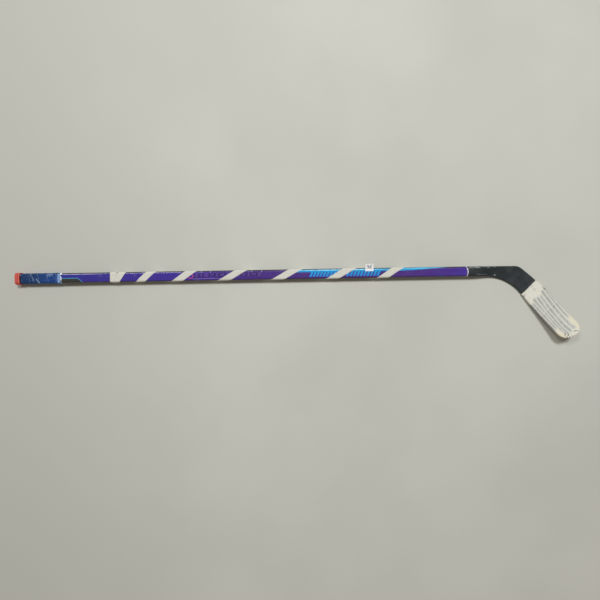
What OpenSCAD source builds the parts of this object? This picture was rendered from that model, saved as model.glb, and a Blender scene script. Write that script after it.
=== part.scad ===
// Two-piece ice hockey stick, right-handed, with a taped shaft and a taped blade.
// It lies on its back face, and all sizes are in millimetres.
// Origin: the centre of the butt cap's end face.
// +X runs down the shaft to the blade, +Y towards the heel side of the shaft,
// and +Z out of the forehand face, which is the hollow side of the blade.

/* [Shaft] */
// Butt to heel, along the back edge of the shaft
shaft_length = 1518.5; // [1440:0.5:1620]
// Width of the shaft's broad faces
shaft_w = 30; // [29:0.5:31]
// Thickness of the shaft between its broad faces
shaft_t = 20; // [19:0.5:21]
// Radius of the shaft's long corners
shaft_r = 5; // [4:0.5:6]
// Wall of the hollow shaft
tube_wall = 2.2; // [1.8:0.1:2.6]

/* [Butt] */
// Length of the rubber butt cap
cap_length = 15; // [13:1:18]
// Rubber round the shaft inside the cap
cap_wall = 3; // [2.5:0.5:4]
// Rubber over the end of the shaft
cap_end = 4; // [3:0.5:6]
// Wooden plug in the end of the shaft
plug_length = 60; // [30:5:90]
// Wound grip, from the cap to its end band
grip_length = 106.5; // [90:0.5:130]
// Thickness of the wound grip
grip_t = 1.5; // [1:0.25:2]
// Length of the finishing band at the end of the grip
band_length = 13.5; // [8:0.5:20]

/* [Shaft tape] */
// Width of the cloth tape
tape_w = 20; // [18:1:22]
// Thickness of one layer of cloth tape
tape_t = 0.4; // [0.3:0.05:0.5]
// Start of the first, straight turn of tape
ring_start = 284.5; // [270:0.5:285]

/* [Blade] */
// Lie: the angle between the shaft and the sole of the blade
lie = 133.5; // [132:0.5:134.5]
// Heel corner to the outer corner of the toe, along the sole
blade_length = 254; // [246:1:262]
// Width of the blade where the tape starts
blade_w = 56; // [55:0.5:60]
// Thickness of the blade at the heel
blade_t = 8; // [7.5:0.25:9]
// Radius of the blade's curve, on its back face
curve_r = 600; // [560:10:800]
// Thickness of one carbon skin
skin_t = 0.9; // [0.7:0.1:1.1]
// Width of the solid strips along the sole and the top edge
edge_strip_w = 4; // [3:0.5:5]

/* [Blade joint] */
// Distance from the shaft's end to the heel corner
neck_length = 166; // [160:1:172]
// Tenon of the blade inside the shaft
tenon_length = 65; // [50:1:80]
// Glue film round the tenon and the plug
glue_t = 0.4; // [0.3:0.05:0.5]

/* [Blade tape] */
// Start of the tape, measured from the heel corner along the sole
blade_tape_start = 63.5; // [63:0.5:66]
// Width of the straight turns at the start
collar_w = 25; // [20:1:30]
// Build-up of the straight turns
collar_t = 1.1; // [0.8:0.1:1.1]
// Build-up of the long strips
strip_t = 0.9; // [0.7:0.1:1]

/* [Price label] */
// Length of the paper label along the shaft
label_length = 25; // [20:1:30]
// Width of the paper label
label_w = 22.3; // [18:0.1:26]
// Distance from the butt to the label
label_x = 1047.5; // [1045:0.5:1060]

/* [Hidden] */
$fn = 48;

// Butt
cap_r = shaft_r + cap_wall;
cap_rim_r = 3;
cap_gap = 3;
grip_start = cap_length + cap_gap;
band_start = grip_start + grip_length;
band_t = 1;

// Shaft tape. The list holds the places along the shaft where the middle of the tape crosses
// the middle of the forehand face, one for each turn. The first and last only set the slope.
turn_x = [268.5, 310.5, 390.5, 505.5, 650.5, 812.5, 975.5, 1122.5, 1249.5];
tape_gap = 0.05;
corner_steps = 6;
flat_w = shaft_w - 2 * shaft_r;
flat_t = shaft_t - 2 * shaft_r;
corner_arc_length = PI * shaft_r / 2;
girth = 2 * flat_w + 2 * flat_t + 4 * corner_arc_length;
last_turn = len(turn_x) - 3;
tape_end = (last_turn + 0.62) * girth;
// The wound tape starts on top of the straight turn, and comes down to the shaft at the first corner
tape_start = -16;
ring_left_at = 10;
step_down = 8;

// Blade, in its own frame: u runs from the shaft's end to the toe, and v across the blade, with
// the sole near v = 0 and the top edge at negative v. The sole is a long shallow curve between the
// heel's corner, just behind the shaft's end, and the toe's lower corner.
shaft_dir = [cos(180 - lie), sin(180 - lie)];
across_dir = [-shaft_dir[1], shaft_dir[0]];
joint_x = shaft_length - neck_length;
toe_setback = 19;
toe_corner = [blade_length, -14];
toe_top_corner = [blade_length - toe_setback, -19 - blade_w];
root_u = 66;
top_slope = (toe_top_corner[1] + blade_w) / (toe_top_corner[0] - blade_tape_start);
throat_side = -shaft_w * across_dir;
throat_run = (-blade_w + top_slope * (throat_side[0] - blade_tape_start) - throat_side[1])
    / (shaft_dir[1] - top_slope * shaft_dir[0]);
throat_corner = throat_side + throat_run * shaft_dir;
joint_back = -neck_length * shaft_dir;
joint_inner = joint_back + throat_side;
heel_setback = 4.6;
heel_corner = -heel_setback * shaft_dir;
rocker_corner = [80, 6.8];
heel_r = 35;
rocker_r = 480;

// Corners of the blade and its hosel, counter-clockwise, with their radii
CORNERS = [
    [joint_inner, 6],
    [throat_corner, 140],
    [toe_top_corner, 24],
    [toe_corner, 25],
    [rocker_corner, rocker_r],
    [heel_corner, heel_r],
    [joint_back, 6]
];
THROAT = 1;
ROCKER = 4;
HEEL = 5;
arc_steps = 14;

// Heights of the blade's two faces at the heel, and its curve
back_z = -13;
front_z = back_z + blade_t;
bow_start = 25;
front_curve_r = 1.06 * curve_r;
curve_fn = 720;
tall = 200;

// Hosel: it starts as the shaft's section and ends as the blade's
hosel_sections = 22;
hosel_corner_steps = 4;
hosel_end_r = 2.4;
taper_from = 0.03;
taper_to = 0.62;

// Inside of the blade: the bridge runs between these two points
bridge_start = [root_u, -29];
bridge_end = [blade_length + 20, -50];
bridge_w = 5;

// Seams between the long strips of tape, as shares of the blade's width: at the collar and at the toe
seam_start = [0.05, 0.25, 0.42, 0.62, 0.86];
seam_end = [0.25, 0.44, 0.59, 0.74, 0.86];
strip_count = len(seam_start) + 1;

// ---- Plain helpers ----

function unit(v) = v / norm(v);
function mix(a, b, f) = a + (b - a) * f;
function ease(f) = (1 - cos(180 * max(0, min(1, f)))) / 2;

// Signed angle through which a path turns at b
function bend_at(a, b, c) =
    let(p = unit(b - a), q = unit(c - b))
    atan2(p[0] * q[1] - p[1] * q[0], p * q);

// The arc that rounds corner b with radius r, in an outline grown by g
function corner_arc(a, b, c, r, g) =
    let(
        bend = bend_at(a, b, c),
        side = sign(bend),
        p = unit(b - a),
        centre = b - r * tan(abs(bend) / 2) * p + side * r * [-p[1], p[0]],
        from = atan2(-side * p[0], side * p[1])
    )
    [for (i = [0:arc_steps]) let(a = from + bend * i / arc_steps) centre + (r + side * g) * [cos(a), sin(a)]];

// The rounded corner number i of the blade's outline, grown by g
function blade_arc(i, g) =
    let(n = len(CORNERS))
    corner_arc(CORNERS[(i + n - 1) % n][0], CORNERS[i][0], CORNERS[(i + 1) % n][0], CORNERS[i][1], g);

function blade_outline(g) = [for (i = [0:len(CORNERS) - 1]) each blade_arc(i, g)];

// How far a face of curve radius r has risen at distance u along the blade
function bow(u, r) = u <= bow_start ? 0 : r - sqrt(r * r - pow(u - bow_start, 2));

// Height of the top edge line at u, across the blade
function top_edge_v(u) = -blade_w + top_slope * (u - blade_tape_start);

// The point at a fraction f of the length of an open path
function path_length(p, i = 0) = i >= len(p) - 1 ? 0 : norm(p[i + 1] - p[i]) + path_length(p, i + 1);
function walk(p, d, i = 0) =
    let(step = norm(p[i + 1] - p[i]))
    d <= step || i == len(p) - 2 ? mix(p[i], p[i + 1], min(1, d / step)) : walk(p, d - step, i + 1);
function along(p, f) = walk(p, f * path_length(p));

module rounded_rect(w, t, r) {
    square([w - 2 * r, t], center = true);
    square([w, t - 2 * r], center = true);
    for (y = [-1, 1], z = [-1, 1]) {
        translate([y * (w / 2 - r), z * (t / 2 - r)]) circle(r);
    }
}

// A bar with the shaft's section grown by g, from x0 to x1
module bar(x0, x1, g) {
    translate([x0, 0, 0]) rotate([90, 0, 90]) {
        linear_extrude(x1 - x0) rounded_rect(shaft_w + 2 * g, shaft_t + 2 * g, shaft_r + g);
    }
}

// A sleeve round the shaft, from x0 to x1 and from offset g0 to offset g1 of its surface
module sleeve(x0, x1, g0, g1) {
    difference() {
        bar(x0, x1, g1);
        bar(x0 - 1, x1 + 1, g0);
    }
}

module at_heel() {
    translate([shaft_length, shaft_w / 2, 0]) rotate([0, 0, lie - 180]) children();
}

// ---- Butt ----

// Half-plane outline of a block of half width h, with its two end corners rounded
module cap_profile(h) {
    length = cap_length - cap_rim_r;
    translate([-h, cap_rim_r]) square([2 * h, length]);
    translate([-h + cap_rim_r, 0]) square([2 * (h - cap_rim_r), cap_length]);
    for (side = [-1, 1]) {
        translate([side * (h - cap_rim_r), cap_rim_r]) circle(cap_rim_r);
    }
}

module cap_block() {
    y = shaft_w / 2 + cap_wall - cap_r;
    z = shaft_t / 2 + cap_wall - cap_r;
    rotate([90, 0, 90]) {
        for (sy = [-1, 1], sz = [-1, 1]) {
            translate([sy * y, sz * z, 0]) rotate_extrude() {
                intersection() {
                    cap_profile(cap_r);
                    square([cap_r, cap_length]);
                }
            }
        }
        rotate([90, 0, 0]) linear_extrude(2 * z, center = true) cap_profile(y + cap_r);
        rotate([90, 0, 90]) linear_extrude(2 * y, center = true) cap_profile(z + cap_r);
    }
}

module butt_cap() {
    color([0.73, 0.27, 0.23]) difference() {
        cap_block();
        bar(cap_end, cap_length + 1, 0);
    }
}

module end_plug() {
    color("burlywood") bar(cap_end, cap_end + plug_length, -tube_wall - glue_t);
}

module plug_glue() {
    color("khaki") sleeve(cap_end + 2, cap_end + plug_length - 2, -tube_wall - glue_t, -tube_wall);
}

module grip_tape() {
    color([0.17, 0.3, 0.5]) sleeve(grip_start, band_start, 0, grip_t);
}

module grip_end_band() {
    color([0.67, 0.77, 0.87]) sleeve(band_start, band_start + band_length, 0, band_t);
}

// ---- Shaft and its tape ----

module shaft_tube() {
    color([0.3, 0.24, 0.58]) sleeve(cap_end, joint_x, -tube_wall, 0);
}

module tape_start_ring() {
    color([0.82, 0.81, 0.76]) sleeve(ring_start, ring_start + tape_w, 0, tape_t);
}

// Catmull-Rom curve through turn_x: the middle of the tape, s being the way wound round the
// shaft, counted from the middle of the forehand face
function tape_x(s) =
    let(
        k = max(0, min(last_turn, floor(s / girth))),
        f = s / girth - k,
        a = turn_x[k], b = turn_x[k + 1], c = turn_x[k + 2], d = turn_x[min(k + 3, len(turn_x) - 1)]
    )
    b + f * ((c - a) + f * ((2 * a - 5 * b + 4 * c - d) + f * (3 * b - a - 3 * c + d))) / 2;

function tape_slope(s) = (tape_x(s + 1) - tape_x(s - 1)) / 2;

// Stations on one turn: [way round from the middle of the front, corner number, angle]
TURN = [
    for (c = [0:3], i = [0:corner_steps])
    let(before = flat_w / 2 + c * corner_arc_length + floor((c + 1) / 2) * flat_t + floor(c / 2) * flat_w)
    [before + corner_arc_length * i / corner_steps, c, 90 - 90 * c - 90 * i / corner_steps]
];
STATIONS = [
    for (k = [-1:last_turn], t = TURN)
    let(s = k * girth + t[0])
    if (s >= tape_start && s <= tape_end)
    [s, t[1], t[2]]
];

// The point of the shaft's section at a station, moved out by g, as [y, z]
function section_point(t, g) =
    let(
        cy = (t[1] < 2 ? 1 : -1) * flat_w / 2,
        cz = (t[1] == 0 || t[1] == 3 ? 1 : -1) * flat_t / 2
    )
    [cy, cz] + (shaft_r + g) * [cos(t[2]), sin(t[2])];

function tape_lift(s) = (tape_t + tape_gap) * (1 - ease((s - ring_left_at) / step_down));

function tape_point(t, edge, g) =
    let(m = tape_slope(t[0]), p = section_point(t, g + tape_lift(t[0])))
    [tape_x(t[0]) + edge * tape_w / 2 * sqrt(1 + m * m), p[0], p[1]];

// A tube of rings with n points each, closed at both ends
function ring_faces(rings, n) = [
    [for (j = [0:n - 1]) j],
    for (i = [0:rings - 2], j = [0:n - 1])
    let(a = i * n + j, b = i * n + (j + 1) % n)
    each [[a, a + n, b], [b, a + n, b + n]],
    [for (j = [n - 1:-1:0]) (rings - 1) * n + j]
];

module tape_spiral() {
    points = [
        for (t = STATIONS)
        each [
            tape_point(t, -1, tape_gap),
            tape_point(t, 1, tape_gap),
            tape_point(t, 1, tape_gap + tape_t),
            tape_point(t, -1, tape_gap + tape_t)
        ]
    ];
    color([0.84, 0.83, 0.78]) polyhedron(points, ring_faces(len(STATIONS), 4));
}

module price_label() {
    stuck_w = 9.5;
    color("white") translate([label_x, shaft_w / 2 - stuck_w, shaft_t / 2]) {
        cube([label_length, label_w, 0.3]);
    }
}

// ---- Hosel and joint ----

function backwards(p) = [for (i = [len(p) - 1:-1:0]) p[i]];
SOLE = backwards(blade_arc(ROCKER, 0));
BACK_PATH = [
    joint_back,
    each backwards(blade_arc(HEEL, 0)),
    each [for (p = SOLE) if (p[0] < root_u) p],
    [root_u, lookup(root_u, SOLE)]
];
INNER_PATH = [joint_inner, each blade_arc(THROAT, 0), [root_u, top_edge_v(root_u)]];

// A rounded section w wide and t thick as a list of [across, up], both from 0
function rounded_section(w, t, r) = [
    for (c = [0:3], i = [0:hosel_corner_steps])
    let(
        a = 180 + 90 * c + 90 * i / hosel_corner_steps,
        x = c == 0 || c == 3 ? r : w - r,
        y = c < 2 ? r : t - r
    )
    [x + r * cos(a), y + r * sin(a)]
];

function hosel_ring(f) =
    let(
        inner = along(INNER_PATH, f),
        back = along(BACK_PATH, f),
        w = norm(back - inner),
        blend = ease((f - taper_from) / (taper_to - taper_from)),
        low = mix(-shaft_t / 2, back_z, blend),
        high = mix(shaft_t / 2, front_z, blend)
    )
    [
        for (p = rounded_section(w, high - low, mix(shaft_r, hosel_end_r, blend)))
        let(
            q = mix(inner, back, p[0] / w),
            up = p[1] / (high - low),
            z = mix(low + bow(q[0], curve_r), high + bow(q[0], front_curve_r), up)
        )
        [q[0], q[1], z]
    ];

module hosel() {
    rings = [for (i = [0:hosel_sections]) hosel_ring(i / hosel_sections)];
    points = [for (ring = rings) each ring];
    color([0.17, 0.19, 0.2]) {
        at_heel() polyhedron(points, ring_faces(len(rings), len(rings[0])));
        bar(joint_x - tenon_length, joint_x + 8, -tube_wall - glue_t);
    }
}

module tenon_glue() {
    color("khaki") {
        sleeve(joint_x - tenon_length + 2, joint_x - 2, -tube_wall - glue_t, -tube_wall);
    }
}

module joint_bead() {
    color("gainsboro") sleeve(joint_x - 1.4, joint_x + 1.2, 0.05, 0.5);
}

// ---- Blade ----

// Everything between the blade's faces, the back one moved out by b and the front one by f
module between_faces(b, f) {
    rotate([90, 0, 0]) linear_extrude(2 * tall, center = true) difference() {
        translate([bow_start, back_z + curve_r]) circle(curve_r + b, $fn = curve_fn);
        translate([bow_start, front_z + front_curve_r]) circle(front_curve_r - f, $fn = curve_fn);
    }
}

// The blade's outline grown by g, from u0 to u1 along the blade
module blade_plan(g, u0, u1) {
    intersection() {
        polygon(blade_outline(g));
        translate([u0, -tall]) square([u1 - u0, 2 * tall]);
    }
}

// A slab of the blade: its outline grown by g, between faces moved out by b and f
module blade_slab(g, b, f, u0, u1) {
    intersection() {
        translate([0, 0, -tall / 2]) linear_extrude(tall) blade_plan(g, u0, u1);
        between_faces(b, f);
    }
}

// The half of the blade on one side of the bridge line moved across by d, side 1 at the sole
module bridge_side(side, d) {
    run = unit(bridge_end - bridge_start);
    out = side * [-run[1], run[0]];
    a = bridge_start - 20 * run + d * out;
    b = bridge_end + 20 * run + d * out;
    translate([0, 0, -tall / 2]) linear_extrude(tall) {
        polygon([a, b, b + tall * out, a + tall * out]);
    }
}

module blade_core() {
    blade_slab(-edge_strip_w, -skin_t, -skin_t, root_u, blade_length + 20);
}

module blade_edge() {
    difference() {
        blade_slab(0, -skin_t, -skin_t, root_u, blade_length + 20);
        blade_slab(-edge_strip_w, 0, 0, root_u - 1, blade_length + 20);
    }
}

module front_skin() {
    color("dimgray") at_heel() difference() {
        blade_slab(0, 0, 0, root_u, blade_length + 20);
        blade_slab(1, 1, -skin_t, root_u - 1, blade_length + 30);
    }
}

module back_skin() {
    color("dimgray") at_heel() difference() {
        blade_slab(0, 0, 0, root_u, blade_length + 20);
        blade_slab(1, -skin_t, 1, root_u - 1, blade_length + 30);
    }
}

module core_lower() {
    color("lightyellow") at_heel() intersection() {
        blade_core();
        bridge_side(1, bridge_w / 2);
    }
}

module core_upper() {
    color("lightyellow") at_heel() intersection() {
        blade_core();
        bridge_side(-1, bridge_w / 2);
    }
}

module core_bridge() {
    color("gray") at_heel() difference() {
        blade_core();
        bridge_side(1, bridge_w / 2);
        bridge_side(-1, bridge_w / 2);
    }
}

module sole_edge_strip() {
    color("darkslategray") at_heel() intersection() {
        blade_edge();
        bridge_side(1, 0);
    }
}

module top_edge_strip() {
    color("darkslategray") at_heel() intersection() {
        blade_edge();
        bridge_side(-1, 0);
    }
}

// ---- Blade tape ----

// A skin of tape t thick over the blade, from u0 to u1
module tape_skin(t, u0, u1) {
    difference() {
        blade_slab(t, t, t, u0, u1);
        blade_slab(tape_gap, tape_gap, tape_gap, u0 - 1, u1 + 10);
    }
}

module blade_tape_collar() {
    color([0.84, 0.83, 0.78]) at_heel() {
        tape_skin(collar_t, blade_tape_start, blade_tape_start + collar_w);
    }
}

// Seam number i, through its points at the collar and at the toe: a point at u
function seam_point(i, u) =
    let(
        u_a = blade_tape_start + collar_w,
        u_b = toe_top_corner[0],
        v_a = top_edge_v(u_a) * seam_start[i - 1],
        v_b = top_edge_v(u_b) * seam_end[i - 1]
    )
    [u, v_a + (v_b - v_a) * (u - u_a) / (u_b - u_a)];

// Edge number i of the long strips: a point before the collar and one past the toe
function strip_edge(i) =
    i == 0 ? [[0, 20], [blade_length + 40, 20]]
    : i == strip_count ? [[0, -120], [blade_length + 40, -120]]
    : [seam_point(i, 0), seam_point(i, blade_length + 40)];

// Long strip number i: down the forehand face, over the toe and back along the other face
module blade_tape_strip(i) {
    a = strip_edge(i - 1);
    b = strip_edge(i);
    color(i % 2 == 1 ? [0.84, 0.83, 0.77] : [0.78, 0.77, 0.71]) at_heel() intersection() {
        tape_skin(strip_t, blade_tape_start + collar_w, blade_length + 20);
        translate([0, 0, -tall / 2]) linear_extrude(tall) polygon([a[0], a[1], b[1], b[0]]);
    }
}

butt_cap();
end_plug();
plug_glue();
shaft_tube();
grip_tape();
grip_end_band();
tape_start_ring();
tape_spiral();
price_label();
hosel();
tenon_glue();
joint_bead();
front_skin();
back_skin();
core_lower();
core_upper();
core_bridge();
sole_edge_strip();
top_edge_strip();
blade_tape_collar();
for (i = [1:strip_count]) {
    blade_tape_strip(i);
}
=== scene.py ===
# Looks of the two-piece ice hockey stick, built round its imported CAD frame.
# Lengths in this file are millimetres in the CAD frame until piece() makes metres of them.
import math

import bmesh
import bpy
import numpy as np
from mathutils import Euler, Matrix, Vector


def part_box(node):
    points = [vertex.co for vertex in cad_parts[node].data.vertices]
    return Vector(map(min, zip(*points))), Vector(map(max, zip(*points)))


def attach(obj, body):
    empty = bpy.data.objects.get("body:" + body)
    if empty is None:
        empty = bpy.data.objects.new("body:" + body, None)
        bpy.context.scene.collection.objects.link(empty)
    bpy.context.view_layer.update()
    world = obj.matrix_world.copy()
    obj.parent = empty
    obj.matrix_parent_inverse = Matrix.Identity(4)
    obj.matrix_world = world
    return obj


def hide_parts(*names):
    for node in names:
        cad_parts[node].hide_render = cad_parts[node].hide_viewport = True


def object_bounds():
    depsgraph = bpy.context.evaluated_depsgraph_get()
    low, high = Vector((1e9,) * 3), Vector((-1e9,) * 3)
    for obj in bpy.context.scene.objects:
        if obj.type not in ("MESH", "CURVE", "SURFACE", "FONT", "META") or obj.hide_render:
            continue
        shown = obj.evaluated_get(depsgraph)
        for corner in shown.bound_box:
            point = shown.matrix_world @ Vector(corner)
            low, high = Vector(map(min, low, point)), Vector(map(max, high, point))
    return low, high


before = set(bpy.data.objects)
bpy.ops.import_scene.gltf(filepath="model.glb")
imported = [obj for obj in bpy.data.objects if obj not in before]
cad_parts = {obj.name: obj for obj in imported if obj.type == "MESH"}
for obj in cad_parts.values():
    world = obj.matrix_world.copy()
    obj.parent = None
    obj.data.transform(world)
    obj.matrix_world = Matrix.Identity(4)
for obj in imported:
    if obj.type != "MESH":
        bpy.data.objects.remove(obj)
cad_low, cad_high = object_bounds()

MM = 0.001


def node_box(name):
    """Lowest and highest corner of a CAD node, in millimetres."""
    low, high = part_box(name)
    return np.array(low) / MM, np.array(high) / MM


def node_span(name):
    """Where a CAD node starts and ends along the shaft."""
    low, high = node_box(name)
    return low[0], high[0]


# ---- Sizes that repeat the CAD source ----

SHAFT_W = 30
SHAFT_T = 20
SHAFT_R = 5
TUBE_WALL = 2.2
GLUE_T = 0.4
SHAFT_LENGTH = 1518.5
LIE = 133.5
BLADE_LENGTH = 254
BLADE_W = 56
NECK_LENGTH = 166
TAPE_START_U = 63.5
COLLAR_W = 25
SEAM_START = [0, 0.06, 0.255, 0.44, 0.63, 0.87, 1]
SEAM_END = [0, 0.235, 0.455, 0.65, 0.775, 0.875, 1]
SEAM_TOE = [0, 0.09, 0.35, 0.585, 0.74, 0.87, 1]
STRIP_COUNT = len(SEAM_START) - 1
ROOT_U = 66
BACK_Z = -13
FRONT_Z = -5
BOW_START = 25
BACK_CURVE_R = 600
FRONT_CURVE_R = 636
TAPE_W = 20
TAPE_START_S = -16
RING_LEFT_AT = 10
STEP_DOWN = 8
TURN_X = [268.5, 310.5, 390.5, 505.5, 650.5, 812.5, 975.5, 1122.5, 1249.5]

FLAT_W = SHAFT_W - 2 * SHAFT_R
FLAT_T = SHAFT_T - 2 * SHAFT_R
ARC = math.pi * SHAFT_R / 2
GIRTH = 2 * FLAT_W + 2 * FLAT_T + 4 * ARC
FRONT_HALF = FLAT_W / 2

# ---- Plain helpers ----


def ease(value, low, high):
    """Smooth step from 0 at low to 1 at high, which may be the smaller one."""
    f = np.clip((np.asarray(value, float) - low) / (high - low), 0, 1)
    return f * f * (3 - 2 * f)


def bell(value, middle, width):
    """1 at the middle, falling to 0 over about the width."""
    return np.exp(-(((np.asarray(value, float) - middle) / width) ** 2))


def mix(a, b, f):
    return a + (b - a) * f


def stack(*axes):
    """Points from their coordinates, each spread over the same grid."""
    return np.stack(np.broadcast_arrays(*axes), -1)


def unit(v):
    return v / np.linalg.norm(v, axis=-1, keepdims=True)


def ripple(points, size, seed, stretch=(1, 1, 1), waves=14):
    """Smooth irregular waves of about the given size over points, from about -1 to 1."""
    chance = np.random.default_rng(seed)
    ways = chance.normal(size=(waves, 3)) / np.array(stretch, float)
    phases = chance.uniform(0, 2 * math.pi, waves)
    waves_here = np.sin(np.asarray(points, float) @ ways.T * (2 / size) + phases)
    return waves_here.sum(-1) / math.sqrt(waves * 2)


def grid_faces(rows, columns, wrap_rows=False, wrap_columns=False):
    """Quads of a grid of points that is stored row by row."""
    ranges = np.arange(rows - (not wrap_rows)), np.arange(columns - (not wrap_columns))
    i, j = np.meshgrid(*ranges, indexing="ij")
    next_i, next_j = (i + 1) % rows, (j + 1) % columns
    corners = [i * columns + j, i * columns + next_j, next_i * columns + next_j, next_i * columns + j]
    return np.stack(corners, -1).reshape(-1, 4).tolist()


def tube_faces(rows, columns):
    """Faces of a row of rings, with both ends closed."""
    last = (rows - 1) * columns
    ends = [list(range(columns)), list(range(last, last + columns))]
    return grid_faces(rows, columns, wrap_columns=True) + ends


def tube(name, rings, material, replaces=(), attributes=None):
    """A piece made of a row of rings, with both ends closed."""
    return piece(name, rings, tube_faces(*np.shape(rings)[:2]), material, replaces, attributes)


def add_object(name, data):
    obj = bpy.data.objects.new(name, data)
    bpy.context.scene.collection.objects.link(obj)
    return obj


def piece(name, points, faces, material, replaces=(), attributes=None, smooth_angle=40, weld=0.0):
    """A mesh of the object, which rides on the one body and takes the place of some CAD nodes."""
    mesh = bpy.data.meshes.new(name)
    mesh.from_pydata((np.reshape(points, (-1, 3)) * MM).tolist(), [], faces)
    for key, values in (attributes or {}).items():
        layer = mesh.attributes.new(key, "FLOAT", "POINT")
        layer.data.foreach_set("value", np.asarray(values, np.float32).ravel())
    work = bmesh.new()
    work.from_mesh(mesh)
    if weld:
        bmesh.ops.remove_doubles(work, verts=work.verts, dist=weld * MM)
    bmesh.ops.recalc_face_normals(work, faces=work.faces)
    work.to_mesh(mesh)
    work.free()
    mesh.polygons.foreach_set("use_smooth", [True] * len(mesh.polygons))
    mesh.set_sharp_from_angle(angle=math.radians(smooth_angle))
    mesh.materials.append(material)
    obj = add_object(name, mesh)
    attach(obj, "root")
    if replaces:
        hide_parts(*replaces)
    return obj


# ---- The shaft's section ----
# s is the way round the section, from the middle of the forehand face towards +y.

KNOTS = np.cumsum([0, FRONT_HALF, ARC, FLAT_T, ARC, FLAT_W, ARC, FLAT_T, ARC, FRONT_HALF])
KNOT_ANGLES = [0, 0, 90, 90, 180, 180, 270, 270, 360, 360]
KNOT_Y = np.array([0, 1, 1, 1, 1, -1, -1, -1, -1, 0]) * FLAT_W / 2
KNOT_Z = np.array([1, 1, 1, -1, -1, -1, -1, 1, 1, 1]) * FLAT_T / 2
SIDE_MIDDLE = FRONT_HALF + ARC + FLAT_T / 2


def section(s, grow=0.0):
    """The section's points [y, z] at s, moved out by grow."""
    s = np.asarray(s, float) % GIRTH
    angle = np.radians(np.interp(s, KNOTS, KNOT_ANGLES))
    reach = SHAFT_R + grow
    y = np.interp(s, KNOTS, KNOT_Y) + reach * np.sin(angle)
    z = np.interp(s, KNOTS, KNOT_Z) + reach * np.cos(angle)
    return np.stack([y, z], -1)


def stations(flat_step, corner_steps):
    """Places round the section, coarse on the flats and fine on the corners."""
    found = []
    for a, b, turn in zip(KNOTS[:-1], KNOTS[1:], np.diff(KNOT_ANGLES)):
        count = corner_steps if turn else max(1, round((b - a) / flat_step))
        found.append(np.linspace(a, b, count, endpoint=False))
    return np.concatenate(found)


def on_shaft(x, s, grow):
    """Points at x along the shaft and s round it, moved out by grow."""
    x, s, grow = np.broadcast_arrays(np.asarray(x, float), s, grow)
    return np.concatenate([x[..., None], section(s, grow)], -1)


def sleeve(name, x, s, outer, inner, material, replaces, attributes=None):
    """A closed skin round the shaft, from its outer face to its inner one, over the rows of x."""
    x = np.broadcast_to(x, (len(x), len(s)))
    rings = np.concatenate([on_shaft(x, s, outer), on_shaft(x, s, inner)[::-1]])
    faces = grid_faces(len(rings), len(s), wrap_rows=True, wrap_columns=True)
    return piece(name, rings, faces, material, replaces, attributes)


# ---- Materials ----


def tone(red, green, blue):
    """A colour given as 0 to 255 on the screen, as Blender's linear values."""
    shares = [c / 255 for c in (red, green, blue)]
    return [c / 12.92 if c <= 0.04045 else ((c + 0.055) / 1.055) ** 2.4 for c in shares] + [1]


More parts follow.
